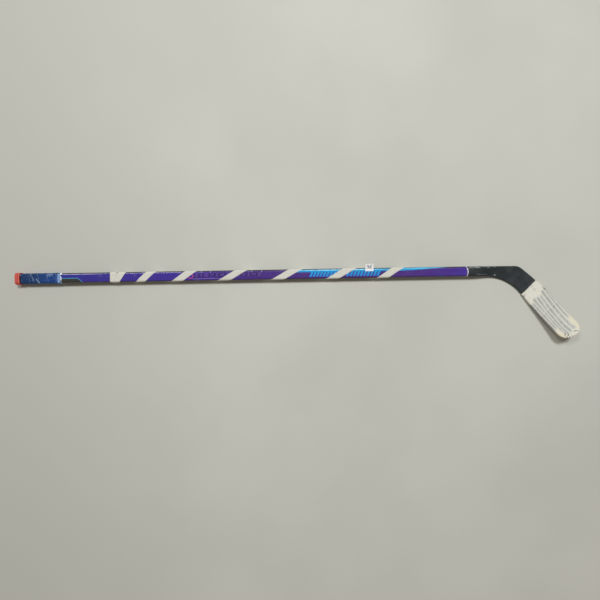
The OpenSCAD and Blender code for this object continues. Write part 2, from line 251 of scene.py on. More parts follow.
class Paint:
    """A procedural material in the making: most methods add a node and return its output."""

    def __init__(self, name, **sockets):
        self.material = bpy.data.materials.new(name)
        self.material.use_nodes = True
        self.tree = self.material.node_tree
        self.shader = self.tree.nodes["Principled BSDF"]
        for key, value in sockets.items():
            self.shader.inputs[key.replace("_", " ")].default_value = value
        self.place = self.tree.nodes.new("ShaderNodeTexCoord").outputs["Object"]
        axes = self.node("ShaderNodeSeparateXYZ", {0: self.place})
        self.x, self.y, self.z = (self.product(axes.outputs[i], 1 / MM) for i in range(3))
        self.base = None

    def put(self, socket, value):
        if isinstance(value, bpy.types.NodeSocket):
            self.tree.links.new(value, socket)
        else:
            socket.default_value = value

    def node(self, kind, inputs, **settings):
        made = self.tree.nodes.new(kind)
        for key, value in settings.items():
            setattr(made, key, value)
        for key, value in inputs.items():
            self.put(made.inputs[key], value)
        return made

    def math(self, operation, first, *others):
        """The operation on the first value and each of the others in turn."""
        for value in others:
            first = self.node("ShaderNodeMath", {0: first, 1: value}, operation=operation).outputs[0]
        return first

    def product(self, *values):
        return self.math("MULTIPLY", *values)

    def most(self, *values):
        return self.math("MAXIMUM", *values)

    def slant(self, share):
        """Distance along the stick, which grows by a share of the distance across it."""
        return self.math("ADD", self.x, self.product(self.y, share))

    def wave(self, value, length):
        return self.math("SINE", self.product(value, 2 * math.pi / length), 0)

    def fade(self, value, low, high, start=0.0, end=1.0, kind="SMOOTHSTEP"):
        """Change from start at low to end at high, smooth or LINEAR."""
        inputs = {"Value": value, "From Min": low, "From Max": high, "To Min": start, "To Max": end}
        return self.node("ShaderNodeMapRange", inputs, interpolation_type=kind).outputs[0]

    def between(self, value, low, high, soft):
        """1 between low and high, with soft ends outside them."""
        return self.product(self.fade(value, low - soft, low), self.fade(value, high, high + soft, 1, 0))

    def noise(self, size, detail=3.0, roughness=0.55, stretch=(1, 1, 1), distortion=0.0):
        """Noise with features of about the given size in millimetres, longer along stretched axes."""
        scale = [1 / (size * MM * share) for share in stretch]
        mapped = self.node("ShaderNodeMapping", {"Vector": self.place, "Scale": scale})
        inputs = {
            "Vector": mapped.outputs[0], "Scale": 1.0, "Detail": detail,
            "Roughness": roughness, "Distortion": distortion,
        }
        return self.node("ShaderNodeTexNoise", inputs).outputs[0]

    def blot(self, low, high, *noise):
        """A mask that fades in where noise, given by its arguments, goes from low to high."""
        return self.fade(self.noise(*noise), low, high)

    def scratches(self, size, share, stretch):
        """Thin broken scratches, as a mask."""
        lines = self.math("SUBTRACT", self.noise(size, 2, 0.6, stretch), 0.5)
        thin = self.fade(self.math("ABSOLUTE", lines, 0), 0.012, 0.0)
        return self.product(thin, self.blot(1 - share, 1.05 - share, size * 9, 3))

    def attribute(self, name):
        return self.node("ShaderNodeAttribute", {}, attribute_name=name).outputs["Fac"]

    def mix(self, share, a, b, blend="MIX"):
        made = self.node("ShaderNodeMix", {}, data_type="RGBA", blend_type=blend)
        for key, value in ((0, share), (6, a), (7, b)):
            self.put(made.inputs[key], value)
        return made.outputs[2]

    def ramp(self, value, stops):
        """Lays down colours at places from 0 to 1, with straight changes between them."""
        made = self.node("ShaderNodeValToRGB", {0: value})
        points = made.color_ramp.elements
        while len(points) < len(stops):
            points.new(1.0)
        for point, (where, colour) in zip(points, stops):
            point.position = where
            point.color = tone(*colour)
        self.base = made.outputs[0]

    def start(self, share, first, second):
        """Lays down a first colour that turns into the second by a share."""
        self.base = self.mix(share, tone(*first), tone(*second))

    def tint(self, colour, *shares, blend="MIX"):
        """Lays a colour over what is there, by the product of the shares."""
        self.base = self.mix(self.product(*shares), self.base, tone(*colour), blend)

    def finish(self, rough, *bumps):
        """Links colour, roughness and bumps, which are (height, depth in millimetres) pairs.

        Roughness is a number, or a mask with what it is where that is low and where it is high, and
        perhaps a second mask with what that adds.
        """
        if isinstance(rough, tuple):
            mask, least, most, *more = rough
            rough = self.fade(mask, 0.3, 0.7, least, most)
            if more:
                rough = self.math("ADD", rough, self.product(*more))
        links = {"Base Color": self.base, "Roughness": rough}
        for height, depth in bumps:
            inputs = {"Strength": 1.0, "Distance": depth * MM, "Height": height}
            if "Normal" in links:
                inputs["Normal"] = links["Normal"]
            links["Normal"] = self.node("ShaderNodeBump", inputs).outputs[0]
        for key, value in links.items():
            self.put(self.shader.inputs[key], value)
        return self.material


def red_rubber():
    p = Paint("red_rubber")
    mottle = p.noise(7, 4)
    p.start(p.fade(mottle, 0.35, 0.7), (190, 70, 62), (208, 86, 76))
    # Pale rims at the rounded end and at the lip: rub wear, and a painted highlight on both.
    rims = p.most(p.fade(p.x, 4.5, 1.0), p.between(p.x, 12.2, 14.3, 0.6))
    p.tint((236, 128, 118), rims, p.blot(0.35, 0.62, 2.2, 4), 0.75)
    p.tint((240, 170, 158), p.blot(0.66, 0.74, 1.1, 3, 0.7, (3, 1, 1)), 0.45)
    p.tint((128, 50, 44), p.blot(0.56, 0.72, 4.0, 5, 0.65), 0.35)
    return p.finish((mottle, 0.5, 0.68), (p.noise(0.45, 3), 0.06), (p.noise(2.5, 2), 0.1))


def grip_film():
    """Glossy dark blue wrap, rubbed pale along a few diagonal streaks."""
    p = Paint("grip_film", Coat_Weight=0.2, Coat_Roughness=0.12, Specular_IOR_Level=0.35)
    p.ramp(p.fade(p.x, 18, 112), [(0, (14, 50, 98)), (0.5, (14, 54, 104)), (1, (10, 62, 128))])
    p.tint((32, 76, 136), p.blot(0.4, 0.7, 9, 4, 0.6), 0.35)
    faint = p.product(p.between(p.slant(0.45), 52.5, 55.0, 2.0), p.fade(p.y, -10, -6), 0.5)
    bright = p.product(p.between(p.slant(0.8), 62.6, 64.6, 1.2), p.fade(p.y, 0, -3))
    patch = p.product(p.between(p.x, 98, 112, 4.0), p.fade(p.y, 3.5, 8.5), 0.55)
    worn = p.product(p.most(faint, bright, patch), p.blot(0.42, 0.6, 2.6, 5, 0.7), p.fade(p.z, 8, 10))
    laps = p.product(p.attribute("overlap"), p.blot(0.45, 0.7, 5, 4), 0.5)
    p.tint((190, 208, 232), p.most(worn, laps))
    p.tint((16, 32, 62), p.blot(0.5, 0.75, 16, 5, 0.7), 0.45)
    return p.finish((p.noise(3.2, 4), 0.25, 0.5), (p.noise(1.1, 4, 0.6), 0.1), (p.noise(0.3, 2), 0.03))


def band_film():
    """Blue finishing tape, rubbed pale, with a torn white edge."""
    p = Paint("band_film", Coat_Weight=0.2, Coat_Roughness=0.3)
    crumple = p.noise(2.4, 4, 0.65, (0.6, 1.6, 1))
    p.start(p.fade(p.y, 4, 14), (26, 72, 140), (22, 50, 100))
    pale = p.product(p.between(p.x, 128.4, 135.6, 0.9), p.fade(crumple, 0.32, 0.56))
    p.tint((132, 172, 222), pale, p.fade(p.y, 15.5, 11))
    slanted = p.slant(0.09)
    p.tint((240, 246, 252), p.between(slanted, 137.2, 142.0, 0.5), p.fade(crumple, 0.3, 0.42, 0.8, 1))
    p.tint((40, 44, 84), p.fade(slanted, 142.2, 142.8))
    p.tint((40, 62, 108), p.blot(0.56, 0.7, 5, 4), 0.5)
    return p.finish((crumple, 0.35, 0.6), (crumple, 0.18), (p.noise(0.5, 3), 0.05))


SHAFT_VIOLETS = [
    (0.10, (42, 48, 148)), (0.22, (56, 44, 152)), (0.37, (68, 48, 166)), (0.50, (70, 42, 138)),
    (0.70, (76, 40, 124)), (0.88, (76, 42, 136)), (0.96, (68, 46, 154)),
]


def lacquer():
    """Violet that turns redder down the shaft, with black paint on the upper corner and back, painted shade
    along the lower edge, a painted highlight with some rub wear along the upper corner near the grip, and
    fine scratches.
    """
    p = Paint("violet_lacquer", Coat_Weight=0.6, Coat_Roughness=0.08)
    p.ramp(p.fade(p.x, 0, 1400, kind="LINEAR"), SHAFT_VIOLETS)
    p.tint((52, 34, 112), p.blot(0.35, 0.7, 70, 4, 0.6, (4, 1, 1)), 0.3)
    # Painted shade: the face darkens towards its lower edge.
    p.tint((46, 26, 66), p.fade(p.y, -10.5, -13.0), 0.7)
    # Black paint along the upper corner and on the back; the near-black lower side is painted shade.
    dark = p.most(p.fade(p.y, 11.4, 12.0), p.fade(p.y, -13.4, -14.4), p.fade(p.z, -6.5, -8.5))
    p.tint((20, 18, 28), dark)
    p.tint((26, 18, 22), p.fade(p.x, 23, 20))
    # Painted highlight along the upper corner, strongest near the grip, with some rub wear; the pale specks
    # after it are chips.
    corner = p.product(p.between(p.y, 10.0, 11.3, 0.5), p.fade(p.z, 5, 7))
    highlight_near_grip = p.fade(p.x, 285, 205, 0.12, 0.95)
    p.tint((206, 196, 232), corner, p.blot(0.36, 0.56, 14, 5, 0.7, (5, 1, 1)), highlight_near_grip)
    p.tint((206, 204, 216), corner, p.blot(0.68, 0.71, 2.2, 3, 0.6), 0.8)
    fine = p.scratches(2.0, 0.34, (14, 1, 1))
    p.tint((156, 146, 200), fine, 0.35)
    p.tint((170, 164, 176), p.blot(0.56, 0.72, 30, 6, 0.72), 0.16)
    rough = p.noise(22, 4), 0.16, 0.26, fine, 0.2
    return p.finish(rough, (fine, 0.02), (p.noise(5, 2, 0.5, (4, 1, 1)), 0.02))


def ink(name, colours, wear, low, high):
    """Printed graphics under lacquer: colours from low to high across the shaft, with worn specks."""
    p = Paint(name, Coat_Weight=0.35, Coat_Roughness=0.2)
    last = len(colours) - 1
    p.ramp(p.fade(p.y, low, high, kind="LINEAR"), [(i / last, colour) for i, colour in enumerate(colours)])
    mottle = p.noise(6, 4, 0.6, (3, 1, 1))
    p.tint((206, 206, 214), p.fade(mottle, 0.35, 0.68), blend="MULTIPLY")
    fine = p.scratches(1.6, 0.4, (12, 1, 1))
    p.tint((86, 70, 150), fine, wear)
    return p.finish((mottle, 0.18, 0.32), (fine, 0.02), (mottle, 0.015))


def cloth(name, clean, grey, warm, grime, weave=0.9):
    """Woven cotton tape. The mesh says how far along and across the tape each point is."""
    p = Paint(name, Sheen_Weight=0.12, Sheen_Roughness=0.5)
    threads = p.product(p.wave(p.attribute("along"), weave), p.wave(p.attribute("across"), weave))
    mottle = p.noise(6, 5, 0.65)
    p.start(p.fade(mottle, 0.36, 0.68), clean, warm)
    p.tint((241, 236, 214), p.attribute("warm"))
    p.tint(grey, p.attribute("wear"), p.fade(p.noise(9, 5, 0.7), 0.3, 0.6, 0.75, 1))
    p.tint((132, 128, 116), p.blot(0.53, 0.72, 3.2, 6, 0.72), grime)
    p.tint((92, 84, 70), p.blot(0.735, 0.76, 1.3, 2, 0.5), 0.7)
    p.tint((226, 225, 221), p.fade(threads, -0.5, 0.6, 0.55, 0), blend="MULTIPLY")
    p.tint((136, 130, 116), p.attribute("edge"), p.fade(p.noise(2.5, 4), 0.35, 0.6, 0.05, 0.3))
    # Dark marks from the mesh: real dirt, and painted shadow in the gaps at the toe and along the sole
    # edge.
    p.tint((66, 58, 44), p.math("MINIMUM", p.attribute("dirt_and_shadow"), 1.0))
    return p.finish(0.88, (threads, 0.07), (p.noise(0.5, 3, 0.7), 0.06), (mottle, 0.15))


def satin_black(name="satin_black", weave=3.2):
    """Black paint over carbon: scuffed along the edges, with a faint twill under it."""
    p = Paint(name, Coat_Weight=0.15, Coat_Roughness=0.3)
    twill = p.product(p.wave(p.slant(1), weave), p.wave(p.slant(-1), weave))
    cloud = p.noise(24, 5, 0.65)
    p.start(p.fade(cloud, 0.34, 0.68), (22, 33, 38), (34, 44, 48))
    p.tint((66, 74, 78), p.fade(twill, -0.2, 0.4), 0.12)
    p.tint((24, 29, 33), p.blot(0.56, 0.7, 10, 5, 0.7), 0.5)
    on_neck = p.product(p.fade(p.x, 1452, 1438), p.fade(p.y, -6, 0))
    scuffed = p.product(p.attribute("edge"), on_neck, p.blot(0.48, 0.56, 4.5, 5, 0.75, (2.5, 1, 1)))
    nick = p.product(p.between(p.x, 1437.5, 1442.0, 0.8), p.between(p.y, -13.2, -10.0, 0.8))
    scuffed = p.most(scuffed, p.product(nick, p.blot(0.4, 0.5, 2.4, 3)))
    p.tint((158, 166, 170), scuffed, 0.8)
    fine = p.scratches(2.4, 0.36, (6, 1.5, 1))
    p.tint((122, 128, 132), fine, 0.45)
    rough = cloud, 0.34, 0.5, scuffed, 0.25
    return p.finish(rough, (fine, 0.03), (scuffed, 0.05), (twill, 0.012), (p.noise(0.8, 3), 0.015))


def mottled(name, grain, turn, colours, stain, rough, depths, **sockets):
    """A plain material: two colours that turn with a grain, a stain, and the bumps of both.

    The grain is given as noise arguments, and the stain as a colour, its strength and a blot.
    """
    p = Paint(name, **sockets)
    grain = p.noise(*grain)
    p.start(p.fade(grain, *turn), *colours)
    heights = [grain]
    if stain:
        colour, strength, *where = stain
        heights.append(p.blot(*where))
        p.tint(colour, heights[-1], strength)
    return p.finish((grain, *rough), *zip(heights, depths))


def chipped_bead():
    pale = (176, 168, 206), (244, 243, 250)
    dark = (62, 50, 84), 0.75, 0.62, 0.68, 1.7, 3, 0.6
    return mottled("chipped_bead", (1.0, 4, 0.7), (0.34, 0.54), pale, dark, (0.4, 0.7), [0.12])


def label_paper():
    p = Paint("label_paper")
    fibres = p.noise(0.6, 4, 0.7, (3, 1, 1))
    p.start(p.fade(fibres, 0.35, 0.7), (244, 247, 250), (230, 234, 240))
    p.tint((188, 192, 200), p.blot(0.54, 0.72, 5, 5, 0.7), 0.3)
    return p.finish((fibres, 0.45, 0.65), (fibres, 0.02), (p.noise(3, 3), 0.05))


def pen_ink():
    return mottled("pen_ink", (1.2, 3), (0.4, 0.65), ((84, 86, 98), (122, 124, 136)), None, (0.35, 0.6), [])


def wood():
    p = Paint("plug_wood")
    rings = p.noise(1.6, 3, 0.5, (30, 1, 2.5), 0.6)
    p.ramp(rings, [(0.32, (176, 134, 88)), (0.5, (208, 170, 120)), (0.66, (224, 190, 142))])
    pores = p.blot(0.62, 0.7, 0.5, 2, 0.5, (20, 1, 1))
    p.tint((120, 84, 50), pores, 0.5)
    return p.finish((rings, 0.6, 0.8), (rings, 0.08), (pores, 0.05))


def glue():
    amber = (206, 186, 132), (226, 212, 168)
    bubbles = (168, 140, 86), 0.4, 0.66, 0.7, 0.9, 2
    grain = (5, 4, 0.6, (2, 1, 1))
    return mottled("hot_glue", grain, (0.35, 0.7), amber, bubbles, (0.25, 0.45), [0.1, 0.04],
                   Coat_Weight=0.2)


def foam():
    cream = (206, 198, 158), (236, 230, 196)
    yellowed = (214, 196, 140), 0.4, 0.5, 0.75, 14, 4
    return mottled("rigid_foam", (0.8, 3, 0.6), (0.38, 0.6), cream, yellowed, (0.8, 0.95), [0.25])


def carbon():
    """Bare moulded carbon of the bridge inside the blade."""
    greys = (38, 40, 42), (84, 87, 90)
    dull = (52, 50, 48), 0.5, 0.5, 0.7, 12, 4
    grain = (0.9, 4, 0.6, (18, 1, 1))
    return mottled("bare_carbon", grain, (0.35, 0.68), greys, dull, (0.3, 0.5), [0.04],
                   Coat_Weight=0.3, Coat_Roughness=0.2)


def floor_paint():
    p = Paint("pale_floor")
    p.start(p.blot(0.3, 0.7, 500, 3, 0.5), (196, 198, 190), (203, 205, 197))
    # Painted shade: the floor darkens towards the left, where the light falls off.
    p.tint((190, 192, 184), p.fade(p.x, 700, -100))
    return p.finish(0.85)


# ---- Butt ----

# Outside of the cap: distance from its end, and how far it stands out from the shaft
CAP_PROFILE = [
    (0, 0), (0.12, 0.9), (0.45, 1.65), (1, 2.3), (1.8, 2.75), (2.8, 2.98), (4, 2.98), (6, 2.82), (8.5, 2.7),
    (10.5, 2.66), (11.6, 2.72), (12, 2.94), (12.6, 3.1), (13.6, 3.12), (14.3, 2.98), (14.8, 2.6),
]


def rubber_cap():
    """Moulded cup with a rounded end, a slight waist and a lip, round the shaft's end."""
    length = node_span("butt_cap")[1]
    s = stations(1.0, 10)
    seam = 0.16 * (bell(s, SIDE_MIDDLE, 0.5) + bell(s, GIRTH - SIDE_MIDDLE, 0.5))
    rings = [on_shaft(x, s, grow + seam * (grow > 1)) for x, grow in CAP_PROFILE + [(length, 1.9)]]
    inside = [(length, 1.0), (length - 0.15, 0.3), (length - 0.6, 0.03), (9, 0.02), (4.02, 0.02)]
    rings += [on_shaft(x, s, grow) for x, grow in inside]
    end_face = [disc(rings[0], share, 0.5 * (1 - share**3)) for share in (0.02, 0.3, 0.6, 0.85, 0.96)]
    pocket = [disc(rings[-1], share, 0.0) for share in (0.7, 0.3, 0.02)]
    rings = end_face + rings + pocket
    tube("rubber_cap", rings, red_rubber(), ["butt_cap"])


def disc(ring, share, depth):
    """A ring shrunk to a share of its size and moved along the shaft."""
    return ring * [1, share, share] + [depth, 0, 0]


def near_ends(value, low, high, reach):
    """1 at low and at high, falling to 0 within reach of them."""
    return ease(value, low + reach, low) + ease(value, high - reach, high)


def grip_wrap():
    """Film wound down the shaft, each turn lapping over the last."""
    low, high = node_span("grip_tape")
    pitch, step = 27.0, 0.55
    x = np.linspace(low, high, round((high - low) / step))[:, None]
    s = np.linspace(0, GIRTH, 160, endpoint=False)
    turn = (x / pitch + s / GIRTH + 0.35) % 1
    lap = ease(turn, 0.70, 0.76) * ease(turn, 1.0, 0.975)
    spots = on_shaft(x, s, 0)
    crinkle = ripple(spots, 3.2, 11) * 0.07 + ripple(spots, 9, 12) * 0.06
    pucker = 0.1 * bell(turn, 0.66, 0.05) * ripple(spots, 2.0, 13)
    outer = 0.82 + 0.42 * lap + crinkle + pucker
    ends = ease(x, low, low + 1.2) * ease(x, high, high - 1.2)
    outer = 0.3 + (outer - 0.3) * np.sqrt(ends)
    ragged = 0.5 * ripple(spots, 5, 14) * (ease(x, low + 4, low) - ease(x, high - 4, high))
    overlap = bell(turn, 0.985, 0.02) + 0.5 * bell(turn, 0.72, 0.03)
    layers = there_and_back({"overlap": overlap})
    sleeve("grip_wrap", x + ragged, s, outer, 0.03, grip_film(), ["grip_tape"], layers)


def there_and_back(layers, axis=0):
    """The attributes of a skin that comes back on its other side, from those of its first side."""
    return {key: np.concatenate([v, np.flip(v, axis)], axis) for key, v in layers.items()}


def finishing_band():
    """Torn tape that holds the end of the wrap, and reaches a little past the CAD band."""
    low, high = node_span("grip_end_band")
    end = high + 1.8
    x = np.linspace(low - 0.9, end, 40)[:, None]
    s = np.linspace(0, GIRTH, 150, endpoint=False)
    spots = on_shaft(x, s, 0)
    on_wrap = ease(x, low + 1.2, low - 0.4)
    outer = 0.85 + 0.75 * on_wrap + 0.13 * ripple(spots, 3, 21) - 0.45 * ease(x, end - 3, end)
    inner = 0.03 + 1.45 * ease(x, low + 0.6, low - 0.2)
    torn = 1.3 * ripple(spots, 3.4, 22) + 0.9 * ripple(spots, 1.3, 23)
    notch = 3.2 * bell(s, 8.0, 1.6)
    x_here = x + (torn - notch) * ease(x, end - 7, end) - 0.8
    sleeve("finishing_band", x_here, s, outer, inner, band_film(), ["grip_end_band"])


# ---- Shaft ----


def painted_shaft():
    """The hollow tube, open at both ends."""
    low, high = node_span("shaft_tube")
    x = np.linspace(low, high, 90)[:, None]
    sleeve("painted_shaft", x, stations(1.5, 12), 0.0, -TUBE_WALL, lacquer(), ["shaft_tube"])


class Print:
    """Thin printed patches on the shaft, each one a closed piece of its surface."""

    def __init__(self, lift=0.02):
        self.floor, self.top = lift - 0.03, lift + 0.06
        self.points = []
        self.faces = []

    def add(self, rings):
        first = len(self.points)
        faces = tube_faces(*rings.shape[:2])
        self.points.extend(rings.reshape(-1, 3).tolist())
        self.faces += [[first + i for i in face] for face in faces]

    def patch(self, s0, s1, low, high):
        """From s0 to s1 round the shaft: low and high are the x limits (start, end) at each."""
        f = np.linspace(0, 1, max(2, math.ceil(abs(s1 - s0) / 0.8) + 1))
        left, right = (mix(low[i], high[i], f) for i in (0, 1))
        loop = (left, self.floor), (right, self.floor), (right, self.top), (left, self.top)
        self.add(np.stack([on_shaft(x, mix(s0, s1, f), height) for x, height in loop], 1))

    def line(self, start, end, width):
        """A straight stroke between two points [x, s]."""
        (x0, s0), (x1, s1) = start, end
        length, rise = math.hypot(x1 - x0, s1 - s0), abs(s1 - s0)
        half = width / 2
        if rise < 0.2 * length:
            self.slab([(x0, s0 - half), (x1, s1 - half), (x1, s1 + half), (x0, s0 + half)])
        else:
            half *= length / rise
            self.patch(s0, s1, (x0 - half, x0 + half), (x1 - half, x1 + half))

    def slab(self, corners):
        """A flat patch on the forehand face with these corners [x, s]."""
        heights = self.floor, self.top
        self.add(np.array([[(x, s, SHAFT_T / 2 + height) for x, s in corners] for height in heights]))

    def ring(self, centre, radius, width, steps=48):
        """A round outline on the forehand face."""
        for i in range(steps):
            a, b = (2 * math.pi * k / steps for k in (i, i + 1))
            self.slab([
                (centre[0] + r * 1.25 * math.cos(t), centre[1] + r * math.sin(t))
                for r, t in ((radius, a), (radius + width, a), (radius + width, b), (radius, b))
            ])

    def make(self, name, colours, wear=0.2, low=-12, high=12, slot="shaft_paint"):
        piece(name, self.points, self.faces, ink(name + "_ink", colours, wear, low, high))


def butt_graphics():
    """A bent pinstripe beside the grip, and the dark panel under it."""
    start = node_span("grip_end_band")[1] - 2.5
    bend_x, tip_x, stripe_s, edge_s = 186.0, 202.0, -1.2, -13.0
    stripe, panel = Print(), Print(0.0)
    stripe.line((start, stripe_s), (bend_x, stripe_s), 1.8)
    stripe.patch(stripe_s + 0.9, edge_s, (bend_x - 0.5, bend_x + 1.6), (tip_x - 1.0, tip_x + 2.0))
    stripe.make("butt_pinstripe", [(66, 160, 216), (84, 184, 232)], 0.3, -12, 0)
    panel.patch(stripe_s - 0.9, edge_s - 6, (start, bend_x + 0.4), (start, tip_x + 7.5))
    panel.make("butt_panel", [(44, 46, 44), (60, 62, 52)], 0.2, -15, -2)


def ring_mark():
    centre, radius, stroke = (524.8, -1.2), 5.3, 1.5
    mark = Print(0.01)
    mark.ring(centre, radius, stroke)
    mark.make("ring_mark", [(236, 84, 70), (232, 92, 148)], 0.3, -8, 6)


def angular_outlines():
    """A row of plain slanted frames, dark outside and paler inside."""
    frames, fills = Print(0.01), Print(0.0)
    low, high, slant, stroke, gap = -6.6, 7.4, 2.0, 1.8, 3.6
    x = 535.5
    for count in range(13):
        width = (12.5, 9.0, 15.0)[count % 3]
        lower = low + (0.0, 3.4, 0.0, 5.6)[count % 4]
        lean = slant * (high - lower) / (high - low)
        fills.patch(lower, high, (x, x + width), (x + lean, x + width + lean))
        for side in (0, width):
            frames.line((x + side, lower), (x + side + lean, high), stroke)
        frames.line((x, lower), (x + width, lower), stroke)
        if count % 2:
            frames.line((x + lean, high), (x + width + lean, high), stroke)
        x += width + gap
    frames.make("angular_outlines", [(30, 14, 74), (36, 20, 84)])
    fills.make("angular_fills", [(84, 54, 148), (98, 66, 160)], 0.3)


def edge_lines():
    """Thin lines along the lower edge of the face, and short ticks across the upper corner."""
    start, end, line_s, stroke = 531, 620, -9.0, 1.3
    tick_low, tick_high, tick_w, lean = 7.6, 15.5, 1.5, 1.6
    lines = Print(0.01)
    lines.line((start, line_s), (end, line_s), stroke)
    for x in (557, 584, 707, 737):
        lines.patch(tick_low, tick_high, (x, x + tick_w), (x + lean, x + lean + tick_w))
    lines.make("edge_lines", [(150, 122, 208), (190, 178, 224)])


def cyan_graphics():
    """Band along the upper corner, which thins to a point, and slanted bars under it."""
    start, full_until, end = 848.0, 1165.0, 1296.0
    upper, lower = 14.2, 5.0
    band, teal, bars, shades, dash = (Print(lift) for lift in (0.01, 0.075, 0.03, 0.01, 0.01))
    band.patch(upper, lower, (start + 6, full_until), (start - 6, full_until))
    band.patch(upper, lower + 1, (full_until, end), (full_until, full_until + 22))
    band.make("cyan_band", [(0, 140, 220), (10, 180, 244), (84, 210, 252)], 0.2, 4.5, 12.5)
    teal.patch(11.6, 15.2, (start + 4, full_until - 30), (start + 6, full_until - 28))
    teal.make("teal_edge", [(0, 96, 120), (0, 66, 88)], 0.2, 11, 15)
    low, high, lean = -8.8, 5.4, 6.6
    for first, last, pitch, width in ((880, 958, 9.8, 6.2), (990, 1090, 10.1, 6.0)):
        for x in np.arange(first, last, pitch):
            bars.patch(low, high, (x, x + width), (x + lean, x + lean + width))
            left, right = x + width - 0.5, x + width + 2.8
            shades.patch(low + 0.8, high, (left, right), (left + lean, right + lean))
    bars.make("slanted_bars", [(20, 146, 250), (0, 166, 246), (0, 178, 248)], 0.2, -9, 7)
    shades.make("bar_shades", [(34, 52, 150), (0, 84, 168)], 0.2, -9, 7)
    dash_start, dash_end, dash_s, dash_w = 1266, 1281, -10.6, 2.2
    dash.line((dash_start, dash_s), (dash_end, dash_s), dash_w)
    dash.make("blue_dash", [(36, 58, 160), (44, 74, 180)], 0.4)


# ---- Cloth tape on the shaft ----


def tape_x(s):
    """Where the middle of the wound tape crosses s: a Catmull-Rom curve through TURN_X."""
    s = np.asarray(s, float)
    k = np.clip(np.floor(s / GIRTH).astype(int), 0, len(TURN_X) - 3)
    f = s / GIRTH - k
    turns = np.array(TURN_X + [TURN_X[-1]], float)
    a, b, c, d = (turns[k + i] for i in range(4))
    return b + f * ((c - a) + f * ((2 * a - 5 * b + 4 * c - d) + f * (3 * b - a - 3 * c + d))) / 2


def tape_layers(*values):
    """The attributes that the cloth reads, spread over the grid of a tape mesh."""
    keys = "along", "across", "wear", "edge", "warm", "dirt_and_shadow"
    return dict(zip(keys, np.broadcast_arrays(*values)))


def start_ring(material):
    """The first turn of tape, straight round the shaft."""
    low, high = node_span("tape_start_ring")
    x = np.linspace(low, high, 46)[:, None]
    s = np.linspace(0, GIRTH, 170, endpoint=False)
    spots = on_shaft(x, s, 0)
    outer = 0.40 + 0.09 * ripple(spots, 4, 31, (3, 1, 1)) + 0.05 * ripple(spots, 1.6, 32)
    outer = outer * np.sqrt(ease(x, low - 0.4, low + 0.6) * ease(x, high + 0.4, high - 0.6))
    x_here = x + near_ends(x, low, high, 2) * (0.35 * ripple(spots, 7, 33) + 0.12 * ripple(spots, 1.2, 34))
    worn = 0.25 * bell(x, low, 2.5) + 0.2 * ease(ripple(spots, 12, 35), 0.2, 1)
    edge = ease(np.abs(x - low - TAPE_W / 2), TAPE_W / 2 - 1, TAPE_W / 2)
    layers = there_and_back(tape_layers(s, x, worn, edge))
    sleeve("start_ring", x_here, s, np.maximum(outer, 0.1), 0.02, material,
           ["tape_start_ring"], layers)


def spiral_tape(material):
    """One long strip of tape wound to the end of the shaft."""
    step = 0.8
    s_start, s_end = TAPE_START_S, (len(TURN_X) - 3 + 0.62) * GIRTH
    s = np.arange(s_start, s_end, step)[:, None]
    stretch = np.sqrt(1 + (tape_x(s + 0.5) - tape_x(s - 0.5)) ** 2)
    half = TAPE_W / 2 * stretch
    across = np.linspace(-1, 1, 27)
    distance = np.cumsum(step * stretch)[:, None]
    flat = stack(distance, across * TAPE_W / 2, 0)
    fray = 0.25 * ripple(flat, 9, 41) + 0.16 * ripple(flat, 1.4, 42)
    narrow = 1 - 0.035 * (1 + ripple(flat, 60, 43)) * np.abs(across)
    s_here = s + 2.2 * ripple(flat, 3.2, 44) * near_ends(s, s_start, s_end, 6)
    x = tape_x(s) + half * across * narrow + fray * np.abs(across) ** 6
    creases = ripple(flat, 5.0, 45, (1, 5, 1)) * 0.1 + ripple(flat, 1.8, 46) * 0.045
    round_edge = np.sqrt(np.clip(1.04 - np.abs(across) ** 10, 0.06, 1))
    on_ring = 0.45 * ease(s, RING_LEFT_AT + STEP_DOWN, RING_LEFT_AT)
    upper = on_shaft(x, s_here, 0.06 + on_ring + (0.36 + creases) * round_edge)
    lower = on_shaft(x, s_here, 0.04 + on_ring)
    loops = np.concatenate([upper, lower[:, ::-1]], 1)
    wear = 0.3 * ease(ripple(flat, 26, 47), 0.1, 1) + 0.25 * np.abs(across) ** 4
    edge = ease(np.abs(across * 10), 9, 10)
    layers = there_and_back(tape_layers(distance, across * 10, wear, edge), 1)
    tube("spiral_tape", loops, material, ["tape_spiral"], layers)


# ---- Label ----


def paper_label():
    """Paper stuck on the face, standing out over the edge of the shaft and curling up a little."""
    low, high = node_box("price_label")
    u, v = np.meshgrid(np.linspace(0, 1, 34), np.linspace(0, 1, 36), indexing="ij")
    corner = np.hypot(np.clip(0.16 - u, 0, 1), np.clip(v - 0.84, 0, 1) * 0.9)
    cut = ease(corner, 0.1, 0.2)
    x = mix(low[0], high[0], u) + cut * 1.1
    y = mix(low[1], high[1], v) - cut * 1.2
    free = np.clip(y - FRONT_HALF, 0, None)
    curl = 0.0075 * free**2 + 0.05 * free * np.sin(u * 2.6 + 0.3)
    wave = 0.12 * ripple(stack(x, y, 0), 9, 51) * ease(free, 0, 6)
    top = stack(x, y, SHAFT_T / 2 + 0.16 + curl + wave)
    loops = np.concatenate([top, (top - [0, 0, 0.12])[:, ::-1]], 1)
    tube("paper_label", loops, label_paper(), ["price_label"])
    pen_scribble(top)


